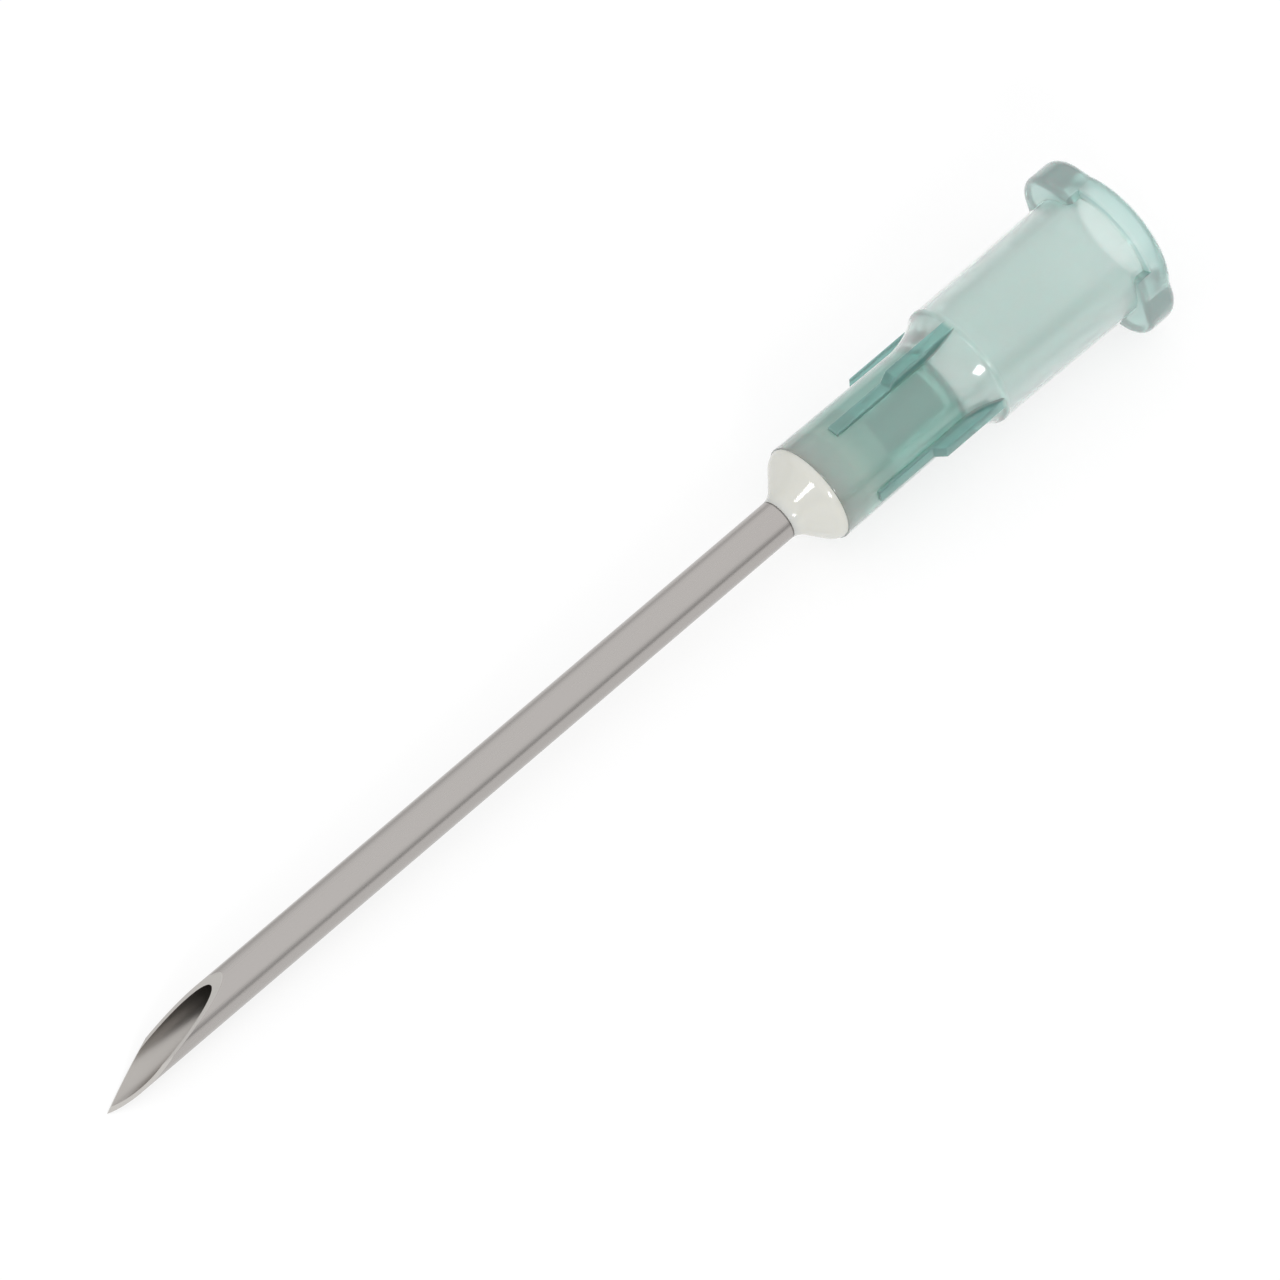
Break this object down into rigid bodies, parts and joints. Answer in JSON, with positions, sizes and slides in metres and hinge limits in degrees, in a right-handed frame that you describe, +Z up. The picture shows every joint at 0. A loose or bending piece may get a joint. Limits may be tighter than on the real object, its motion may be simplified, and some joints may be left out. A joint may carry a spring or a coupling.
{
  "type": "hypodermic needle",
  "caption": "Hollow steel cannula with a ground lancet point, glued into a ribbed, see-through hub with a tapered socket and two lock lugs.",
  "frame": {"origin": "middle of the bounding box's underside, on the surface that the needle lies on", "axes": "+X from the point towards the hub, +Z up; the needle's own axis rises about 2.6 degrees towards the hub"},
  "size_m": [0.0554, 0.0072, 0.0066],
  "materials": {
    "steel": "drawn and passivated stainless steel tube, fine marks along its length",
    "polypropylene": "moulded translucent polypropylene, pale blue-green, satin",
    "resin": "cured ivory epoxy resin, smooth and glossy"
  },
  "bodies": {
    "root": {"cannula": "steel", "hub": "polypropylene", "adhesive": "resin"}
  },
  "joints": []
}
